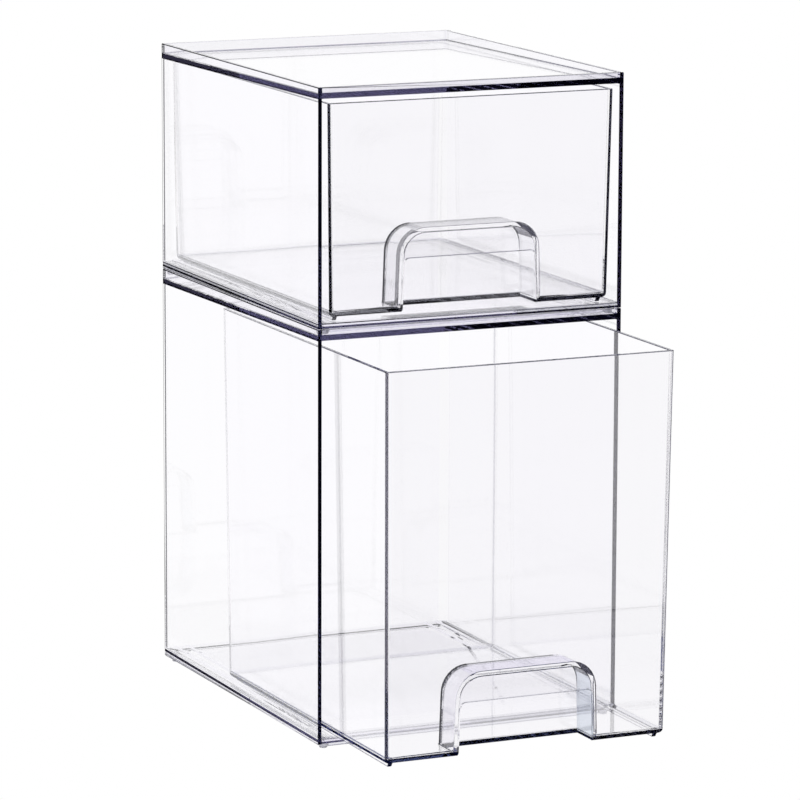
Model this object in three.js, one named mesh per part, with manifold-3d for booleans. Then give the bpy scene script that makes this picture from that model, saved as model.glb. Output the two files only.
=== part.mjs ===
// Clear plastic fridge bin: a tall and a short drawer module, stacked.
// Millimetres, +Z up, the fronts face -Y, +X to the right as the fronts are faced.
// Origin: middle of the footprint at floor level, with the tall drawer pulled part way out.
import * as THREE from 'three';
import { mergeVertices } from 'three/addons/utils/BufferGeometryUtils.js';
import Module from 'manifold-3d';

// Housing, the same footprint for both modules
const WIDTH = 170;
const DEPTH = 212;
const TALL_HEIGHT = 214.1; // from the bottom of the side walls to the top of the rim
const SHORT_HEIGHT = 121.7;
const WALL = 2.2;
const BACK_CORNER = 2.5; // outer radius of the two upright back corners
const INNER_CORNER = 0.8; // radius of the same corners on the inside
const FLOOR_THICK = 2.6;
const FLOOR_UNDER = 0.2; // underside of the floor above the wall bottoms, at the front
const FLOOR_RISE = 1.1; // moulding draft, front to back
const PLATE_THICK = 2.6; // top plate
const PLATE_DOWN = 3.1; // plate top below the rim, at the front
const PLATE_FALL = 2.2; // moulding draft, front to back
const RIM_THICK = 2.5; // stacking rim round the plate
const STACK_GAP = 0.3; // between a rim and the walls standing on it

// Skirt under the floor, which drops inside the rim of the module below
const SKIRT_INSET = 4.6;
const SKIRT_THICK = 1.4;
const SKIRT_DROP = 2.6;
const FOOT_RADIUS = 2.2;
const FOOT_INSET = 5.4;
const FOOT_DROP = 3.1; // ground below the wall bottoms
const FIT = 0.3; // clearance between pieces that touch

// Guide rails on the floor, two at each side; the drawer's runner rides between them
const RAIL_X = [77.4, 70.4];
const RAIL_WIDTH = 1.4;
const RAIL_TOP = 4.8;
const RAIL_START = 14;

// Drawer
const DRAWER_HALF = 79.4; // half width at the top edge
const DRAWER_LENGTH = 207.0; // at the top edge
const DRAWER_WALL = 2.1;
const DRAWER_LIFT = 5.3; // underside of the drawer above the wall bottoms
const DRAWER_SETBACK = 0.3; // closed front behind the housing front
const SIDE_LEAN = 1.7;
const EDGE_RADIUS = 2.5; // rounded edge round the drawer floor
const TALL_DRAWER = { height: 198.7, frontLean: 3.0, backLean: 3.2 };
const SHORT_DRAWER = { height: 108.2, frontLean: 1.4, backLean: 1.2 };
const RUNNER_X = 73.9;
const RUNNER_WIDTH = 2.4;

// Finger pocket in the drawer front: an arch pushed inwards, behind a lip
const POCKET_HALF = 39.8;
const POCKET_HEIGHT = 42.3;
const POCKET_DEPTH = 23.5;
const POCKET_RADIUS = 14;
const POCKET_LEAN = 1.0;
const LIP_HEIGHT = 27.3; // height of the opening under the lip
const LIP_RADIUS = 3;

// How far the tall drawer stands out at rest
const REST_PULL = 71.1;
const CENTRE_Y = (DEPTH + DRAWER_SETBACK - REST_PULL) / 2;

const wasm = await Module();
wasm.setup();

function toSolid(geometry) {
  const bare = geometry.clone();
  bare.deleteAttribute('normal');
  bare.deleteAttribute('uv');
  const welded = mergeVertices(bare, 1e-5);
  return new wasm.Manifold(new wasm.Mesh({
    numProp: 3,
    vertProperties: new Float32Array(welded.attributes.position.array),
    triVerts: new Uint32Array(welded.index.array),
  }));
}

function toGeometry(solid) {
  const mesh = solid.getMesh();
  const geometry = new THREE.BufferGeometry();
  geometry.setAttribute('position', new THREE.BufferAttribute(Float32Array.from(mesh.vertProperties), 3));
  geometry.setIndex(new THREE.BufferAttribute(Uint32Array.from(mesh.triVerts), 1));
  const flat = geometry.toNonIndexed();
  flat.computeVertexNormals();
  return flat;
}

const join = (first, ...rest) => rest.reduce((sum, next) => sum.add(next), first);
const cut = (first, ...rest) => rest.reduce((sum, next) => sum.subtract(next), first);

// Closed solid through matching outlines; the first and last outline are capped flat.
function loft(outlines) {
  const count = outlines[0].length;
  const spread = (axis) => {
    const values = outlines[0].map((point) => point[axis]);
    return Math.max(...values) - Math.min(...values);
  };
  const [u, v] = [0, 1, 2].sort((a, b) => spread(b) - spread(a));
  const faces = [];
  for (let level = 0; level + 1 < outlines.length; level += 1) {
    for (let i = 0; i < count; i += 1) {
      const a = level * count + i;
      const b = level * count + ((i + 1) % count);
      faces.push(a, b, b + count, a, b + count, a + count);
    }
  }
  const cap = (outline) => THREE.ShapeUtils.triangulateShape(
    outline.map((point) => new THREE.Vector2(point[u], point[v])), []);
  const last = (outlines.length - 1) * count;
  const clockwise = THREE.ShapeUtils.isClockWise(
    outlines[0].map((point) => new THREE.Vector2(point[u], point[v])));
  for (const [a, b, c] of cap(outlines[0])) faces.push(...(clockwise ? [a, b, c] : [a, c, b]));
  for (const [a, b, c] of cap(outlines[outlines.length - 1])) {
    faces.push(...(clockwise ? [last + a, last + c, last + b] : [last + a, last + b, last + c]));
  }
  const geometry = new THREE.BufferGeometry();
  geometry.setAttribute('position', new THREE.Float32BufferAttribute(outlines.flat(2), 3));
  geometry.setIndex(faces);
  return outwards(geometry);
}

// Turns a closed geometry right side out.
function outwards(geometry) {
  const p = geometry.attributes.position;
  const index = geometry.index.array;
  const [a, b, c] = [new THREE.Vector3(), new THREE.Vector3(), new THREE.Vector3()];
  let volume = 0;
  for (let i = 0; i < index.length; i += 3) {
    a.fromBufferAttribute(p, index[i]);
    b.fromBufferAttribute(p, index[i + 1]);
    c.fromBufferAttribute(p, index[i + 2]);
    volume += a.dot(b.cross(c));
  }
  if (volume < 0) {
    for (let i = 0; i < index.length; i += 3) [index[i], index[i + 1]] = [index[i + 1], index[i]];
  }
  return toSolid(geometry);
}

// Plan outline, symmetric about x = 0, at height z (a number or a function of y).
function plan({ half, front, back, frontRadius = 0, backRadius = 0 }, z) {
  const corners = [
    [half, front, -90, frontRadius, -1, 1],
    [half, back, 0, backRadius, -1, -1],
    [-half, back, 90, backRadius, 1, -1],
    [-half, front, 180, frontRadius, 1, 1],
  ];
  const steps = 6;
  const height = typeof z === 'function' ? z : () => z;
  return corners.flatMap(([x, y, start, radius, sx, sy]) => {
    if (radius <= 0) return [[x, y, height(y)]];
    return Array.from({ length: steps + 1 }, (_, i) => {
      const angle = THREE.MathUtils.degToRad(start + (90 * i) / steps);
      const py = y + radius * (sy + Math.sin(angle));
      return [x + radius * (sx + Math.cos(angle)), py, height(py)];
    });
  });
}

// Upright arch outline at depth y, drafted inwards by lean towards its top.
function arch({ half, bottom, top, radius, lean }, y) {
  const steps = 8;
  const narrow = half - lean;
  const outline = [[-half, y, bottom], [half, y, bottom]];
  for (const side of [1, -1]) {
    for (let i = 0; i <= steps; i += 1) {
      const angle = (Math.PI / 2) * ((side > 0 ? i : steps - i) / steps);
      outline.push([
        side * (narrow - radius + radius * Math.cos(angle)), y, top - radius + radius * Math.sin(angle),
      ]);
    }
  }
  return outline;
}

// Rounded bar along y; the lower face may slope, and its front end may be raked back.
function bar({ x, width, front, back, low, high, rake = 0 }) {
  const section = (start, z) => {
    const half = width / 2;
    return plan({ half, front: start, back, frontRadius: half * 0.6, backRadius: half * 0.6 }, z)
      .map(([px, py, pz]) => [px + x, py, pz]);
  };
  return loft([section(front + rake, low), section(front, high)]);
}

const slope = (front, rise) => (y) => front + (rise * y) / DEPTH;

function housing(height) {
  const walls = { half: WIDTH / 2, front: 0, back: DEPTH, backRadius: BACK_CORNER };
  const inside = {
    half: WIDTH / 2 - WALL, front: -1, back: DEPTH - WALL, backRadius: INNER_CORNER,
  };
  const rimInside = {
    half: WIDTH / 2 - RIM_THICK, front: RIM_THICK, back: DEPTH - RIM_THICK,
    frontRadius: INNER_CORNER, backRadius: INNER_CORNER,
  };
  const floorUnder = slope(FLOOR_UNDER, FLOOR_RISE);
  const floorTop = slope(FLOOR_UNDER + FLOOR_THICK, FLOOR_RISE);
  const plateTop = slope(height - PLATE_DOWN, -PLATE_FALL);
  const plateUnder = slope(height - PLATE_DOWN - PLATE_THICK, -PLATE_FALL);
  const shell = cut(
    loft([plan(walls, 0), plan(walls, height)]),
    loft([plan(inside, -1), plan(inside, floorUnder)]),
    loft([plan(inside, floorTop), plan(inside, plateUnder)]),
    loft([plan(rimInside, plateTop), plan(rimInside, height + 1)]),
  );

  const seat = FLOOR_UNDER + 1.4;
  const ring = (inset) => ({
    half: WIDTH / 2 - inset, front: inset, back: DEPTH - inset, frontRadius: 2, backRadius: 2,
  });
  const outer = ring(SKIRT_INSET);
  const inner = ring(SKIRT_INSET + SKIRT_THICK);
  let skirt = cut(
    loft([plan(outer, -SKIRT_DROP), plan(outer, seat)]),
    loft([plan(inner, -SKIRT_DROP - 1), plan(inner, seat + 1)]),
  );
  for (const { x, y } of footSpots) {
    const socket = new THREE.CylinderGeometry(FOOT_RADIUS + FIT, FOOT_RADIUS + FIT, 20, 32);
    skirt = skirt.subtract(toSolid(socket.rotateX(Math.PI / 2)).translate([x, y, 0]));
  }

  const rails = [1, -1].flatMap((side) => RAIL_X.map((x) => bar({
    x: side * x, width: RAIL_WIDTH, front: RAIL_START, back: DEPTH - WALL / 2, low: seat, high: RAIL_TOP,
  })));
  return join(shell, skirt, ...rails);
}

const footSpots = ['front', 'back'].flatMap((end) => ['left', 'right'].map((side) => ({
  name: `${end}_${side}`,
  x: (side === 'left' ? -1 : 1) * (WIDTH / 2 - FOOT_INSET),
  y: end === 'front' ? FOOT_INSET : DEPTH - FOOT_INSET,
})));

// Soft pad standing in the corner of the skirt, its lower edge rounded.
function foot(y) {
  const top = slope(FLOOR_UNDER, FLOOR_RISE)(y) - FIT;
  const profile = [[0, -FOOT_DROP], [FOOT_RADIUS - 0.7, -FOOT_DROP]];
  for (let i = 1; i <= 4; i += 1) {
    const angle = (Math.PI / 2) * (i / 4);
    profile.push([FOOT_RADIUS - 0.7 + 0.7 * Math.sin(angle), -FOOT_DROP + 0.7 * (1 - Math.cos(angle))]);
  }
  profile.push([FOOT_RADIUS, top], [0, top]);
  const turned = new THREE.LatheGeometry(profile.map(([r, z]) => new THREE.Vector2(r, z)), 28);
  return toSolid(turned.rotateX(Math.PI / 2));
}

function drawer({ height, frontLean, backLean }) {
  const footprint = (z, inset) => {
    const low = 1 - z / height;
    return {
      half: DRAWER_HALF - SIDE_LEAN * low - inset,
      front: frontLean * low + inset,
      back: DRAWER_LENGTH - backLean * low - inset,
      frontRadius: Math.max(1.5 - inset * 0.45, 0.5),
      backRadius: Math.max(2.5 - inset * 0.8, 0.5),
    };
  };
  const tub = (inset, bottom, top, radius) => {
    const outlines = [];
    for (let i = 0; i <= 5; i += 1) {
      const angle = (Math.PI / 2) * (i / 5);
      const z = bottom + radius * (1 - Math.cos(angle));
      outlines.push(plan(footprint(z, inset + radius * (1 - Math.sin(angle))), z));
    }
    return loft([...outlines, plan(footprint(top, inset), top)]);
  };
  const body = tub(0, 0, height, EDGE_RADIUS);
  const hollow = tub(DRAWER_WALL, DRAWER_WALL, height + 1, EDGE_RADIUS - 1);
  const behindFront = loft([plan(footprint(-1, DRAWER_WALL), -1), plan(footprint(60, DRAWER_WALL), 60)]);

  const tunnel = (shape, from, to) => loft([arch(shape, from), arch(shape, to)]);
  const pocket = {
    half: POCKET_HALF, bottom: 0, top: POCKET_HEIGHT, radius: POCKET_RADIUS, lean: POCKET_LEAN,
  };
  const recess = {
    half: POCKET_HALF - DRAWER_WALL, bottom: -1, top: POCKET_HEIGHT - DRAWER_WALL,
    radius: POCKET_RADIUS - DRAWER_WALL, lean: POCKET_LEAN,
  };
  const openingLean = (POCKET_LEAN * (LIP_HEIGHT - LIP_RADIUS - recess.bottom))
    / (recess.top - recess.radius - recess.bottom);
  const opening = { ...recess, top: LIP_HEIGHT, radius: LIP_RADIUS, lean: openingLean };
  const pocketBlock = tunnel(pocket, -5, POCKET_DEPTH).intersect(body);
  const pocketHollow = tunnel(recess, -5, POCKET_DEPTH - DRAWER_WALL).intersect(behindFront);

  const under = (y) => -(DRAWER_LIFT - FLOOR_UNDER - FLOOR_THICK - FIT)
    + (FLOOR_RISE * (y + DRAWER_SETBACK)) / DEPTH;
  const runners = [1, -1].map((side) => bar({
    x: side * RUNNER_X, width: RUNNER_WIDTH, front: frontLean + 1.5,
    back: DRAWER_LENGTH - backLean - 5, low: under, high: 1.0, rake: 2,
  }));
  return join(
    cut(join(cut(body, hollow), pocketBlock), pocketHollow, tunnel(opening, -5, 8)),
    ...runners,
  );
}

const housingClear = () => new THREE.MeshStandardMaterial({
  color: 0xe6e8f4, roughness: 0.08, metalness: 0, transparent: true, opacity: 0.35,
});
const drawerClear = () => new THREE.MeshStandardMaterial({
  color: 0xeff0f8, roughness: 0.06, metalness: 0, transparent: true, opacity: 0.35,
});
const padClear = () => new THREE.MeshStandardMaterial({ color: 0xc6c6d2, roughness: 0.5, metalness: 0 });

const bin = new THREE.Group();
bin.name = 'fridge_bin';

function place(name, solid, material, y, z) {
  const mesh = new THREE.Mesh(toGeometry(solid.translate([0, y - CENTRE_Y, z])), material);
  mesh.name = name;
  bin.add(mesh);
}

function module(prefix, height, drawerSize, ground, pull) {
  const base = ground + FOOT_DROP;
  place(`${prefix}_housing`, housing(height), housingClear(), 0, base);
  for (const spot of footSpots) {
    const pad = foot(spot.y).translate([spot.x, spot.y, 0]);
    place(`${prefix}_foot_${spot.name}`, pad, padClear(), 0, base);
  }
  place(`${prefix}_drawer`, drawer(drawerSize), drawerClear(), DRAWER_SETBACK - pull, base + DRAWER_LIFT);
}

module('tall', TALL_HEIGHT, TALL_DRAWER, 0, REST_PULL);
module('short', SHORT_HEIGHT, SHORT_DRAWER, TALL_HEIGHT + STACK_GAP, 0);

export default bin;
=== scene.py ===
import math

import bmesh
import bpy
from mathutils import Matrix, Vector


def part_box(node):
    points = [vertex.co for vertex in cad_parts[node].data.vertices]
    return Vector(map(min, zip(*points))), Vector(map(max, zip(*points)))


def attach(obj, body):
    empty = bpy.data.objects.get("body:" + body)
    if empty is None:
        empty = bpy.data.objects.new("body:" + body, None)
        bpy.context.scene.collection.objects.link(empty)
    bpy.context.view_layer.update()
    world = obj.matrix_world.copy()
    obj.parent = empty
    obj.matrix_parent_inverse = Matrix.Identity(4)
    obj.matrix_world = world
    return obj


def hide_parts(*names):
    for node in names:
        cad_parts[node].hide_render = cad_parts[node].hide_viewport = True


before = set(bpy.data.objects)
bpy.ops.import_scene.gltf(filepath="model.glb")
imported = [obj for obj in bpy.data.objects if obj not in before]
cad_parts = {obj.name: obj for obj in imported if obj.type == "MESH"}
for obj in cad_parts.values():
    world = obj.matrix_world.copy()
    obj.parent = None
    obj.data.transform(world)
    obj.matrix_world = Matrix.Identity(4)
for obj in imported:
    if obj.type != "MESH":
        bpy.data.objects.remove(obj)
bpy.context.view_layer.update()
scene = bpy.context.scene

# ---- camera: long lens, a little above, from the left of the fronts ----
CAMERA_AT = Vector((-1.0398, -2.26865, 0.6337))
CAMERA_TO = Vector((-0.03228, -0.0542, 0.17489))
CAMERA_LENS = 218.63
CAMERA_ROLL = math.radians(0.217)

# ---- the mouldings' own measures, in metres ----
MM = 0.001
HOUSING_HEIGHT = {"tall": 214.1 * MM, "short": 121.7 * MM}
DRAWER_HEIGHT = {"tall": 198.7 * MM, "short": 108.2 * MM}
FRONT_LEAN = {"tall": 3.0 * MM, "short": 1.4 * MM}
HOUSING_DEPTH = 212 * MM
PLATE_DOWN, PLATE_THICK, PLATE_FALL = 3.1 * MM, 2.6 * MM, 2.2 * MM
FLOOR_UNDER, FLOOR_THICK, FLOOR_RISE = 0.2 * MM, 2.6 * MM, 1.1 * MM
RIM_THICK, WALL = 2.5 * MM, 2.2 * MM
DRAWER_WALL, SIDE_LEAN = 2.1 * MM, 1.7 * MM
POCKET_HALF, POCKET_HEIGHT, POCKET_DEPTH = 39.8 * MM, 42.3 * MM, 23.5 * MM
LIP_HEIGHT = 27.3 * MM

# ---- rounded edges ----
SOFT_ANGLE = math.radians(32)  # a sharper edge than this is an edge of the moulding
MERGE = 2e-6  # CAD corners nearer than this are one corner
COPLANAR = math.radians(0.6)  # facets nearer to flat than this become one face
THIN = 3.0 * MM  # a face narrower than this is looked at edge on
EDGE_ROUND = 0.4 * MM
PAD_ROUND = 0.3 * MM
ROUND_STEPS = 3
STEP = 1.4 * MM  # steps lower than this keep their corners sharp
LIP_REACH = 6 * MM  # the finger opening's edges lie within this of the front
NEAR = 0.8 * MM
SKIN = 0.7 * MM  # faces this near the outside belong to the outer surface

# kinds of face
BROAD, NARROW, ROUNDED = 0, 1, 2

# ---- where the painted shade and painted highlight change ----
SQUARE = 0.9  # a normal with this much of an axis looks along it
PLATE_LINE = 0.4 * MM  # the front band starts this far above the plate
FLOOR_TONES = (0.6 * MM, 1.5 * MM)  # tone changes below the floor's top
TONE_SPLIT = 102 * MM  # the side bands are darker behind this
BAND_SPLIT = {"tall": 0.5, "short": 0.65}  # the front band is darker past this part of its width
DARK_FROM, DARK_RATE = 0.45, 2.5  # how fast the housing's front lines darken to the right
BACK_ZONE = 3 * MM
ARC_ZONE = 3.5 * MM
PLATE_ZONE = 4 * MM
# the paler strip is a painted highlight beside the back right corner
STRIPE = 5.5 * MM  # paler strip beside the back right corner
BOTTOM_LINE = 2.4 * MM  # dark line along the drawer's bottom edges
BOTTOM_FROM, BOTTOM_RATE = 0.35, 3  # how fast that line darkens to the right
CORNER_ZONE = 5 * MM
FRONT_ZONE = 0.5 * MM
BACK_HALF = 100 * MM
ARCH_LINE = 2.4 * MM  # dark line round the back of the finger pocket
POCKET_TONE = 8 * MM  # the pocket's walls change tone this far in
POCKET_FOOT = 1.6 * MM
CRESCENT = (25, 60)  # the dark arc of the pocket's upper right, in degrees

# ---- tones, linear: what one face lets through. PANEL is the clear plastic's own faint colour. The rest are painted shade, the dark lines and bands that the clear edges show; OPEN on the pale strip and WALL_LIGHT are painted highlight ----
PANEL = (0.996, 0.9945, 0.9999)
# faces looked at edge on are a touch darker: painted shade
NARROW_SHADE = (0.96, 0.955, 0.98)
OPEN = (1.0, 1.0, 0.999)  # looked through without any bend
RIM = (0.955, 0.95, 0.975)
RIM_FRONT = (0.87, 0.86, 0.91)
SILHOUETTE = (0.08, 0.08, 0.1)
FAINT = (0.9, 0.9, 0.93)
LAVENDER = (0.86, 0.84, 0.93)
CROWN = (0.7, 0.7, 0.72)
COOL = (0.74, 0.78, 0.84)
PALE = (0.75, 0.75, 0.78)
WALL_SHADE = (0.28, 0.28, 0.3)
WALL_LIGHT = (0.95, 0.95, 0.96)
GREY = (0.55, 0.55, 0.6)
MID_GREY = (0.5, 0.5, 0.53)
SOFT_LINE = (0.4, 0.4, 0.44)
CORNER_LINE = (0.22, 0.21, 0.26)
LINE = (0.2, 0.2, 0.24)
BOTTOM_GREY = (0.2, 0.2, 0.22)
CRESCENT_SHADE = (0.1, 0.1, 0.13)
BLACK = (0.03, 0.03, 0.045)
NAVY_BAND = (0.085, 0.08, 0.15)
DARK_BAND = (0.032, 0.03, 0.05)
DEEP_BAND = (0.003, 0.003, 0.01)
NAVY_EDGE = (0.02, 0.021, 0.05)
DEEP_EDGE = (0.012, 0.01, 0.025)
NAVY_LINE = (0.04, 0.05, 0.12)
NAVY_SIDE = (0.06, 0.07, 0.2)
PAD_SIDE = (0.7, 0.7, 0.74)
# a face letting through less than this shows no mirror image and doesn't bend the view
DARKEST = 0.25

# ---- light ----
SKY = ((0.42, 1.0), (0.62, 0.05))  # height on the dome, brightness
MIRRORED = ((0.15, 0.15), (0.45, 1.0))  # front to back of the dome, part of it that surfaces mirror
FLOOR_HALF, FLOOR_DOWN = 8.0, 0.3 * MM


def make_camera():
    data = bpy.data.cameras.new("camera")
    data.lens = CAMERA_LENS
    data.sensor_width = 36.0
    data.clip_start, data.clip_end = 0.05, 100.0
    camera = bpy.data.objects.new("camera", data)
    scene.collection.objects.link(camera)
    forward = (CAMERA_TO - CAMERA_AT).normalized()
    right = forward.cross(Vector((0, 0, 1))).normalized()
    up = right.cross(forward)
    c, s = math.cos(CAMERA_ROLL), math.sin(CAMERA_ROLL)
    rolled_right = right * c + up * s
    rolled_up = up * c - right * s
    rotation = Matrix((rolled_right, rolled_up, -forward)).transposed()
    camera.matrix_world = Matrix.Translation(CAMERA_AT) @ rotation.to_4x4()
    scene.camera = camera


# ---- materials ----
def new_material(name):
    material = bpy.data.materials.new(name)
    material.use_nodes = True
    tree = material.node_tree
    tree.nodes.clear()
    out = tree.nodes.new("ShaderNodeOutputMaterial")
    return material, tree, out


def noise(tree, coords, scale, detail=2.0):
    node = tree.nodes.new("ShaderNodeTexNoise")
    node.inputs["Scale"].default_value = scale
    node.inputs["Detail"].default_value = detail
    tree.links.new(coords.outputs["Object"], node.inputs["Vector"])
    return node.outputs["Fac"]


def attribute(tree, name, output):
    node = tree.nodes.new("ShaderNodeAttribute")
    node.attribute_name = name
    return node.outputs[output]


def clear_plastic(name, rough, waves):
    material, tree, out = new_material(name)
    bsdf = tree.nodes.new("ShaderNodeBsdfPrincipled")
    bsdf.inputs["IOR"].default_value = 1.57
    bsdf.inputs["Transmission Weight"].default_value = 1.0
    # per-face tone: the plastic's own faint colour, with the painted shade and painted highlight of the
    # edges and bands
    tint_and_painted_light = attribute(tree, "tint_and_painted_light", "Color")
    tree.links.new(tint_and_painted_light, bsdf.inputs["Base Color"])
    coords = tree.nodes.new("ShaderNodeTexCoord")

    # handling haze: patches where the gloss is a touch softer
    patch = tree.nodes.new("ShaderNodeMapRange")
    patch.inputs["From Min"].default_value = 0.45
    patch.inputs["From Max"].default_value = 0.75
    patch.inputs["To Min"].default_value = rough
    patch.inputs["To Max"].default_value = rough + 0.004
    tree.links.new(noise(tree, coords, 14.0, 4.0), patch.inputs["Value"])
    tree.links.new(patch.outputs[0], bsdf.inputs["Roughness"])

    # the slight waviness of a moulded panel
    bump = tree.nodes.new("ShaderNodeBump")
    bump.inputs["Strength"].default_value = waves
    bump.inputs["Distance"].default_value = 0.0002
    tree.links.new(noise(tree, coords, 22.0), bump.inputs["Height"])
    tree.links.new(bump.outputs["Normal"], bsdf.inputs["Normal"])

    # open faces and faces darkened by painted shade let the view straight through, coloured but without a
    # bend
    clear = tree.nodes.new("ShaderNodeBsdfTransparent")
    tree.links.new(tint_and_painted_light, clear.inputs["Color"])
    mixer = tree.nodes.new("ShaderNodeMixShader")
    tree.links.new(attribute(tree, "open", "Fac"), mixer.inputs[0])
    tree.links.new(bsdf.outputs[0], mixer.inputs[1])
    tree.links.new(clear.outputs[0], mixer.inputs[2])
    tree.links.new(mixer.outputs[0], out.inputs["Surface"])
    return material


# ---- shapes ----
def corners(node):
    low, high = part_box(node)
    return Vector(low), Vector(high)


def smooth_groups(bm):
    seen = set()
    for first in bm.faces:
        if first in seen:
            continue
        seen.add(first)
        stack, group = [first], []
        while stack:
            face = stack.pop()
            group.append(face)
            for edge in face.edges:
                if len(edge.link_faces) == 2 and edge.calc_face_angle(0) < SOFT_ANGLE:
                    for other in edge.link_faces:
                        if other not in seen:
                            seen.add(other)
                            stack.append(other)
        yield group


def sharp_edges(bm):
    return [e for e in bm.edges if len(e.link_faces) == 2 and e.calc_face_angle(0) > SOFT_ANGLE]


def is_upright(edge):
    along = edge.verts[1].co - edge.verts[0].co
    return abs(along.z) > 0.95 * along.length


def on_finger_opening(edge, low):
    return all(
        abs(v.co.x) < POCKET_HALF + NEAR
        and v.co.y < low.y + LIP_REACH
        and low.z + 0.5 * MM < v.co.z < low.z + LIP_HEIGHT + 1.5 * MM
        for v in edge.verts
    )


def mark_kinds(bm):
    sharp = set(sharp_edges(bm))
    for group in smooth_groups(bm):
        area = sum(f.calc_area() for f in group)
        outline = sum(e.calc_length() for f in group for e in f.edges if e in sharp)
        narrow = outline > 0 and 2 * area / outline < THIN
        for face in group:
            face.material_index = NARROW if narrow else BROAD


def cut_faces(bm, wanted, point, normal):
    faces = [f for f in bm.faces if wanted(f)]
    geom = set(faces)
    for f in faces:
        geom.update(f.edges)
        geom.update(f.verts)
    bmesh.ops.bisect_plane(bm, geom=list(geom), dist=1e-6, plane_co=point, plane_no=normal)


def round_edges(bm, node, slot, radius):
    sharp = sharp_edges(bm)
    if slot == "clear_drawer":
        low, high = corners(node)
        sharp = [e for e in sharp if not on_finger_opening(e, low)]
    steps = {v for e in sharp if e.calc_length() < STEP and is_upright(e) for v in e.verts}
    bmesh.ops.bevel(
        bm, geom=[e for e in sharp if not steps.intersection(e.verts)], offset=radius,
        segments=ROUND_STEPS, profile=0.5, affect="EDGES", clamp_overlap=False,
        offset_type="OFFSET", material=ROUNDED,
    )


# stores each face's tone, painted shade and painted highlight included, for the shader
def paint_tones_and_light(bm, tone_and_painted_light):
    tint_and_painted_light = bm.loops.layers.float_color.new("tint_and_painted_light")
    opened = bm.loops.layers.float.new("open")
    for f in bm.faces:
        f.smooth = True
        colour = tone_and_painted_light(f.material_index, f.calc_center_median(), f.normal)
        dark = max(colour) < DARKEST
        for loop in f.loops:
            # the refracting shader takes the root of its colour at each face
            loop[tint_and_painted_light] = (*(c if dark else c * c for c in colour), 1.0)
            loop[opened] = 1.0 if dark or colour == OPEN else 0.0
        f.material_index = 0


def visual(node, body, slot, material, cuts, tone_and_painted_light, radius=EDGE_ROUND):
    bm = bmesh.new()
    bm.from_mesh(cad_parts[node].data)
    bmesh.ops.remove_doubles(bm, verts=bm.verts, dist=MERGE)
    bmesh.ops.dissolve_limit(bm, angle_limit=COPLANAR, verts=bm.verts, edges=bm.edges)
    for wanted, point, normal in cuts:
        cut_faces(bm, wanted, point, normal)
    mark_kinds(bm)
    round_edges(bm, node, slot, radius)
    paint_tones_and_light(bm, tone_and_painted_light)
    mesh = bpy.data.meshes.new(node + "_moulding")
    bm.to_mesh(mesh)
    bm.free()
    mesh.materials.append(material)
    piece = bpy.data.objects.new(node + "_moulding", mesh)
    scene.collection.objects.link(piece)
    normals = piece.modifiers.new("normals", "WEIGHTED_NORMAL")
    normals.keep_sharp = False
    normals.weight = 100
    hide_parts(node)
    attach(piece, body)


def mix(a, b, t):
    t = min(max(t, 0.0), 1.0)
    return tuple(x + (y - x) * t for x, y in zip(a, b))
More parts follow.
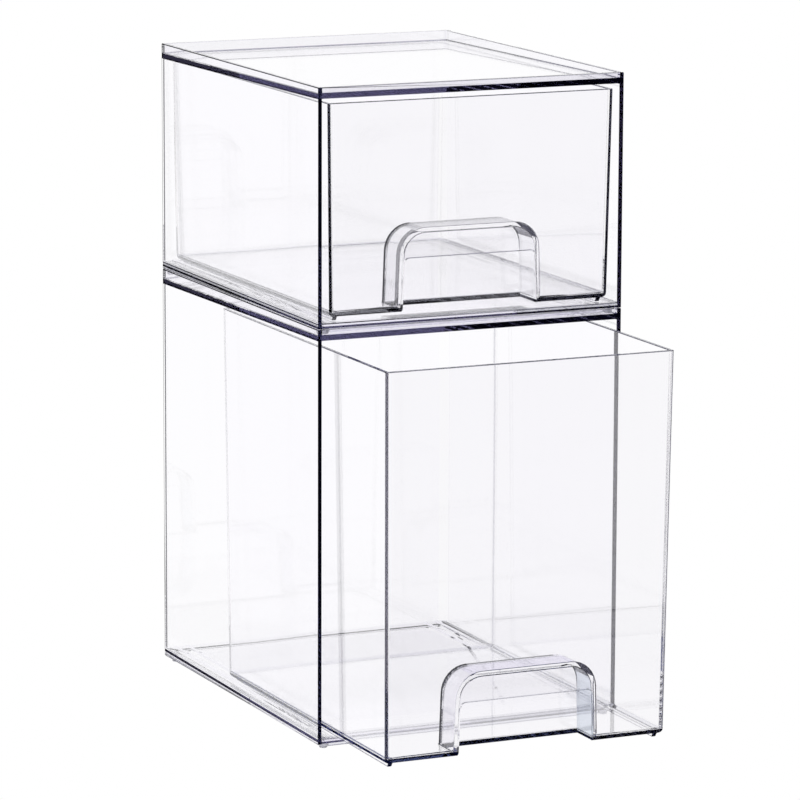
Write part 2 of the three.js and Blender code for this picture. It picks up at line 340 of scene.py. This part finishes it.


# ---- where the tones, painted shade and painted highlight lie: they are placed for a look from the front left ----
def housing_rules(unit):
    low, high = corners(f"{unit}_housing")
    foot = high.z - HOUSING_HEIGHT[unit]
    plate, bottom = high.z - PLATE_DOWN, foot + FLOOR_UNDER
    floor_top = bottom + FLOOR_THICK
    first_tone, second_tone = (FLOOR_THICK - tone for tone in FLOOR_TONES)

    def outer(f):
        c, n = f.calc_center_median(), f.normal
        return (
            (n.y < -SQUARE and c.y < low.y + MM)
            or (n.x < -SQUARE and c.x < low.x + MM)
            or (n.x > SQUARE and c.x > high.x - MM)
            or (max(n.y, abs(n.x)) > 0.2 and n.y > 0.05 and c.y > high.y - BACK_ZONE)
        )

    def front(f):
        return f.normal.y < -SQUARE and f.calc_center_median().y < low.y + MM

    def side(f):
        return abs(f.normal.x) > SQUARE and abs(f.calc_center_median().x) > high.x - BACK_ZONE

    def wall(f):
        return side(f) or (abs(f.normal.y) > SQUARE and f.calc_center_median().y > high.y - BACK_ZONE)

    def level(z, rise):
        return Vector((0, low.y, z)), Vector((0, -rise / HOUSING_DEPTH, 1)).normalized()

    def upright(x):
        return Vector((x, 0, 0)), Vector((1, 0, 0))

    def across(y):
        return Vector((0, y, 0)), Vector((0, 1, 0))

    # these cuts split the faces where the painted shade and painted highlight change
    cuts = [
        (outer, *level(plate, -PLATE_FALL)),
        (outer, *level(plate - PLATE_THICK, -PLATE_FALL)),
        (front, *level(plate + PLATE_LINE, 0)),
        (outer, *level(bottom, FLOOR_RISE)),
        (outer, *level(floor_top, FLOOR_RISE)),
        (outer, *level(bottom + first_tone, FLOOR_RISE)),
        (outer, *level(bottom + second_tone, FLOOR_RISE)),
        (front, *upright(low.x + RIM_THICK)),
        (front, *upright(high.x - RIM_THICK)),
        (front, *upright(low.x + WALL)),
        (front, *upright(high.x - WALL)),
        (side, *across(low.y + TONE_SPLIT)),
        (front, *upright(low.x + BAND_SPLIT[unit] * (high.x - low.x))),
        # the strip of painted highlight beside the back right corner
        (wall, *across(high.y - STRIPE)),
        (wall, *upright(high.x - STRIPE)),
    ]

    # painted shade: the front's dark bands and edge lines, darkening towards the right
    def front_painted_shade(kind, c, plate_z, above_floor):
        dark = ((c.x - low.x) / (high.x - low.x) - DARK_FROM) * DARK_RATE
        if c.x < low.x + WALL or c.x > high.x - WALL:
            return mix(NAVY_EDGE, DEEP_EDGE, dark)
        if c.z > plate_z + PLATE_LINE:
            return RIM_FRONT if kind < ROUNDED else GREY
        if c.z > plate_z - PLATE_THICK - 0.1 * MM:
            return mix(NAVY_BAND, DEEP_BAND, dark)
        if first_tone < above_floor < FLOOR_THICK:
            return mix(SOFT_LINE, LINE, dark)
        if second_tone < above_floor < FLOOR_THICK:
            return mix(LAVENDER, GREY, dark)
        return mix(NAVY_BAND, DEEP_BAND, dark)

    def tone_and_painted_light(kind, c, n):
        back = (c.y - low.y) / HOUSING_DEPTH
        plate_z = plate - PLATE_FALL * back
        above_floor = c.z - bottom - FLOOR_RISE * back
        in_plate = plate_z - PLATE_THICK < c.z < plate_z
        in_floor = 0 < above_floor < FLOOR_THICK
        between = above_floor > FLOOR_THICK and c.z < plate_z - PLATE_THICK
        outside = abs(c.x) > high.x - SKIN or c.y > high.y - SKIN
        arc = min(abs(n.x), abs(n.y)) > 0.1 and abs(n.z) < 0.1 and c.y > high.y - ARC_ZONE
        # painted shade: the side bands are darker behind TONE_SPLIT
        side_band = DARK_BAND if c.y > low.y + TONE_SPLIT else NAVY_BAND
        if c.y < low.y + SKIN:
            return front_painted_shade(kind, c, plate_z, above_floor)
        # painted highlight: the right back arcs are let straight through unbent, so they show pale
        if arc and c.x > 0 and between:
            return OPEN
        # painted shade: the bands where the plate and the floor meet the outer walls
        if outside and in_plate and abs(n.z) < 0.5:
            return LAVENDER if abs(n.x) < 0.5 else side_band
        if outside and in_floor and abs(n.z) < 0.5:
            if c.x > 0 or abs(n.x) < 0.5:
                return RIM
            if unit == "tall" and above_floor < second_tone:
                return RIM_FRONT
            if unit == "short" and second_tone < above_floor < first_tone:
                return SOFT_LINE
            return side_band
        # painted shade: the left arcs are dark silhouette lines, the right ones pale rims
        if arc:
            return SILHOUETTE if c.x < 0 else RIM
        # painted highlight: the pale strip beside the back right corner, let straight through
        if min(c.x - high.x, c.y - high.y) > -STRIPE - NEAR and abs(n.z) < 0.1 and between:
            return OPEN
        # painted shade: the skirt, the rim's top and outer faces, the foot's outer edges and the plate's
        # back edge; plain faces keep PANEL, the plastic's own colour
        if c.z < foot + 0.1 * MM and unit == "tall" and abs(c.x) < high.x - WALL:
            return FAINT if kind < ROUNDED else GREY  # skirt
        if c.z > high.z - NEAR:
            return BLACK if kind == ROUNDED and outside else RIM
        if outside and c.z > plate_z and kind < ROUNDED:
            return RIM
        if outside and c.z < foot + NEAR:
            return LINE if kind == ROUNDED else GREY
        if c.y > high.y - PLATE_ZONE and abs(c.z - plate_z) < NEAR:
            return GREY
        return (PANEL, NARROW_SHADE, FAINT)[kind]

    return cuts, tone_and_painted_light


def drawer_rules(unit):
    low, high = corners(f"{unit}_drawer")
    height, lean = DRAWER_HEIGHT[unit], FRONT_LEAN[unit]
    upper = unit == "short"
    under = high.z - height

    def at(f):
        c = f.calc_center_median()
        return c.x, c.y - low.y, c.z - under

    def front(f):
        return f.normal.y < -SQUARE and at(f)[1] < lean + FRONT_ZONE

    def recess_back(f):
        return f.normal.y < -SQUARE and abs(at(f)[1] - (POCKET_DEPTH - DRAWER_WALL)) < NEAR

    def tunnel(f):
        x, y, z = at(f)
        return (
            abs(f.normal.y) < 0.2 and abs(x) < POCKET_HALF + NEAR and y < POCKET_DEPTH
            and 0.5 * MM < z < POCKET_HEIGHT + NEAR
        )

    # these cuts split the faces where the painted shade changes
    cuts = [
        (front, Vector((high.x - DRAWER_WALL, 0, high.z)), Vector((1, 0, -SIDE_LEAN / height))),
        (recess_back, Vector((0, 0, under + BOTTOM_LINE)), Vector((0, 0, 1))),
        (tunnel, Vector((0, low.y + POCKET_DEPTH - ARCH_LINE, 0)), Vector((0, 1, 0))),
        (tunnel, Vector((0, low.y + POCKET_TONE, 0)), Vector((0, 1, 0))),
        (tunnel, Vector((0, 0, under + POCKET_FOOT)), Vector((0, 0, 1))),
    ]
    # painted shade: the dark line along the drawer's bottom edges, darkening towards the right
    bottom_left = BOTTOM_GREY if upper else NAVY_LINE

    def bottom_painted_shade(x):
        right = (x + high.x) / (2 * high.x)
        return mix(bottom_left, BLACK, (right - BOTTOM_FROM) * BOTTOM_RATE)

    # painted shade on the finger pocket's rounded edges
    def pocket_edge_painted_shade(x, y, z, on_back):
        if on_back:
            low_right = x > 20 * MM and z < POCKET_HEIGHT - 12 * MM
            return SOFT_LINE if low_right or abs(x) < 25 * MM else BLACK
        if lean + 1.2 * MM < y < 6 * MM:
            if x > 25 * MM:
                return SOFT_LINE if upper else BLACK
            if z > POCKET_HEIGHT - 4 * MM:
                return SOFT_LINE if upper else NAVY_LINE
            return SOFT_LINE if upper else FAINT
        return GREY if y < lean + 1.2 * MM else SOFT_LINE

    # the pocket's tones: PANEL on its plain faces, painted shade on its back line, foot, top and crescent,
    # and shaded and lit copies on its walls
    def pocket_tone_and_painted_light(kind, x, y, z, n):
        on_back = y > POCKET_DEPTH - ARCH_LINE
        if z < BOTTOM_LINE and n.y < -SQUARE and y > 5 * MM:
            return bottom_painted_shade(x)
        if z < NEAR:
            return BLACK if kind else bottom_painted_shade(x)
        if kind == ROUNDED:
            return pocket_edge_painted_shade(x, y, z, on_back)
        if abs(n.y) >= 0.3:
            return PANEL
        if on_back and x < 0 and z > POCKET_FOOT:
            return BLACK if abs(x) > 25 * MM else GREY
        if abs(x) > POCKET_HALF - 5 * MM and z < POCKET_FOOT:
            return LINE if upper else NAVY_LINE
        if n.z > SQUARE:
            return CROWN if upper else LAVENDER
        # painted shade: the dark crescent of the pocket's upper right
        if CRESCENT[0] < math.degrees(math.atan2(n.z, n.x)) < CRESCENT[1]:
            return CRESCENT_SHADE
        # painted shade and painted light: in the upper drawer the left wall is shaded near the front and lit
        # elsewhere; in the lower drawer the right wall is darker
        if n.x < -0.1:
            if upper:
                return WALL_SHADE if y < POCKET_TONE and x < 0 else WALL_LIGHT
            return NARROW_SHADE if x < 0 else COOL
        return PANEL

    # drawer corners: painted shade lines on the left, PALE painted shade on the lower drawer's right, and
    # painted light on the upper drawer's back corners, which are let straight through
    def corner_tone_and_painted_light(x, y, n):
        if x * n.x >= 0 and x <= 0:
            return SOFT_LINE
        if not upper and x > 0 and n.x > 0:
            return PALE
        return OPEN if upper and y > BACK_HALF else PANEL

    def tone_and_painted_light(kind, c, n):
        x, y, z = c.x, c.y - low.y, c.z - under
        corner = abs(n.z) < 0.15 and min(abs(n.x), abs(n.y)) > 0.2 and abs(x) > high.x - CORNER_ZONE
        in_pocket = (
            abs(x) < POCKET_HALF + NEAR and y < POCKET_DEPTH + NEAR and z < POCKET_HEIGHT + NEAR
        )
        on_front = y < lean + FRONT_ZONE
        # painted shade: dark lines down the front corners, and down the upper drawer's right front band
        if corner and y < lean + 2 * MM and x * n.x > 0:
            return BLACK if upper else CORNER_LINE
        right_band = x > high.x - DRAWER_WALL - SIDE_LEAN * (1 - z / height)
        if upper and n.y < -SQUARE and right_band and on_front:
            return BLACK
        if corner:
            return corner_tone_and_painted_light(x, y, n)
        # painted shade on the drawer's top edges
        if z > height - NEAR:
            return LINE if kind == ROUNDED else GREY
        # painted shade on the drawer's bottom edges: the front ones darkening to the right, the left ones
        # darker, the rest faint
        if (not in_pocket or on_front) and z < BOTTOM_LINE and -0.995 < n.z < -0.1:
            if n.y < -0.1:
                return bottom_painted_shade(x)
            if n.x < -0.3:
                return MID_GREY if upper else NAVY_SIDE
            return FAINT
        if in_pocket:
            return pocket_tone_and_painted_light(kind, x, y, z, n)
        # painted shade: rounded edges FAINT; plain faces keep PANEL, the plastic's own colour
        return FAINT if kind == ROUNDED else PANEL

    return cuts, tone_and_painted_light


# painted shade: the pads' sides darker than their tops
def pad_rules():
    return [], lambda kind, c, n: PAD_SIDE if abs(n.z) < 0.5 else FAINT


def make_pieces():
    housing = clear_plastic("clear_housing", 0.0, 0.02)
    drawer = clear_plastic("clear_drawer", 0.0, 0.02)
    pad = clear_plastic("foot_pad", 0.3, 0.1)
    for unit in ("tall", "short"):
        body = f"{unit}_unit"
        visual(f"{unit}_housing", body, "clear_housing", housing, *housing_rules(unit))
        visual(f"{unit}_drawer", f"{unit}_drawer", "clear_drawer", drawer, *drawer_rules(unit))
        for end in ("front", "back"):
            for side in ("left", "right"):
                visual(f"{unit}_foot_{end}_{side}", body, "foot_pad", pad, *pad_rules(), PAD_ROUND)


# ---- stage ----
def make_floor():
    mesh = bpy.data.meshes.new("floor")
    outline = [(-1, -1), (1, -1), (1, 1), (-1, 1)]
    mesh.from_pydata([(x * FLOOR_HALF, y * FLOOR_HALF, -FLOOR_DOWN) for x, y in outline], [], [(0, 1, 2, 3)])
    floor = bpy.data.objects.new("floor", mesh)
    scene.collection.objects.link(floor)
    material, tree, out = new_material("floor")
    emit = tree.nodes.new("ShaderNodeEmission")
    emit.inputs["Color"].default_value = (1, 1, 1, 1)
    tree.links.new(emit.outputs[0], out.inputs["Surface"])
    mesh.materials.append(material)
    floor.visible_glossy = False


def ramp(tree, source, stops):
    node = tree.nodes.new("ShaderNodeValToRGB")
    tree.links.new(source, node.inputs["Fac"])
    for element, (position, value) in zip(node.color_ramp.elements, stops):
        element.position = position
        element.color = (value, value, value, 1)
    return node.outputs["Color"]


def blend_colours(tree):
    node = tree.nodes.new("ShaderNodeMix")
    node.data_type = "RGBA"
    first, second = (s for s in node.inputs if s.name in "AB" and s.type == "RGBA")
    result = next(s for s in node.outputs if s.type == "RGBA")
    return node, first, second, result


def make_light():
    """A white dome, dim overhead. Mirror images also dim towards the room in front of the drawers."""
    world = bpy.data.worlds.new("studio")
    scene.world = world
    world.use_nodes = True
    tree = world.node_tree
    coords = tree.nodes.new("ShaderNodeTexCoord")
    split = tree.nodes.new("ShaderNodeSeparateXYZ")
    tree.links.new(coords.outputs["Generated"], split.inputs[0])
    along = tree.nodes.new("ShaderNodeMath")
    along.operation = "MULTIPLY_ADD"
    along.inputs[1].default_value = 0.5
    along.inputs[2].default_value = 0.5
    tree.links.new(split.outputs["Y"], along.inputs[0])

    path = tree.nodes.new("ShaderNodeLightPath")
    chooser, plain, mirror, chosen = blend_colours(tree)
    tree.links.new(path.outputs["Is Reflection Ray"], chooser.inputs["Factor"])
    plain.default_value = (1, 1, 1, 1)
    tree.links.new(ramp(tree, along.outputs[0], MIRRORED), mirror)

    total, first, second, light = blend_colours(tree)
    total.blend_type = "MULTIPLY"
    total.inputs["Factor"].default_value = 1.0
    tree.links.new(ramp(tree, split.outputs["Z"], SKY), first)
    tree.links.new(chosen, second)
    back = tree.nodes["Background"]
    tree.links.new(light, back.inputs["Color"])
    back.inputs["Strength"].default_value = 1.0


def make_stage():
    scene.view_settings.view_transform = "Standard"
    scene.view_settings.look = "None"
    make_floor()
    make_light()
    # light crosses many faces inside the clear walls
    scene.cycles.max_bounces = 500
    scene.cycles.transmission_bounces = 400
    scene.cycles.glossy_bounces = 400
    scene.cycles.diffuse_bounces = 2
    scene.cycles.transparent_max_bounces = 8


make_camera()
make_stage()
make_pieces()
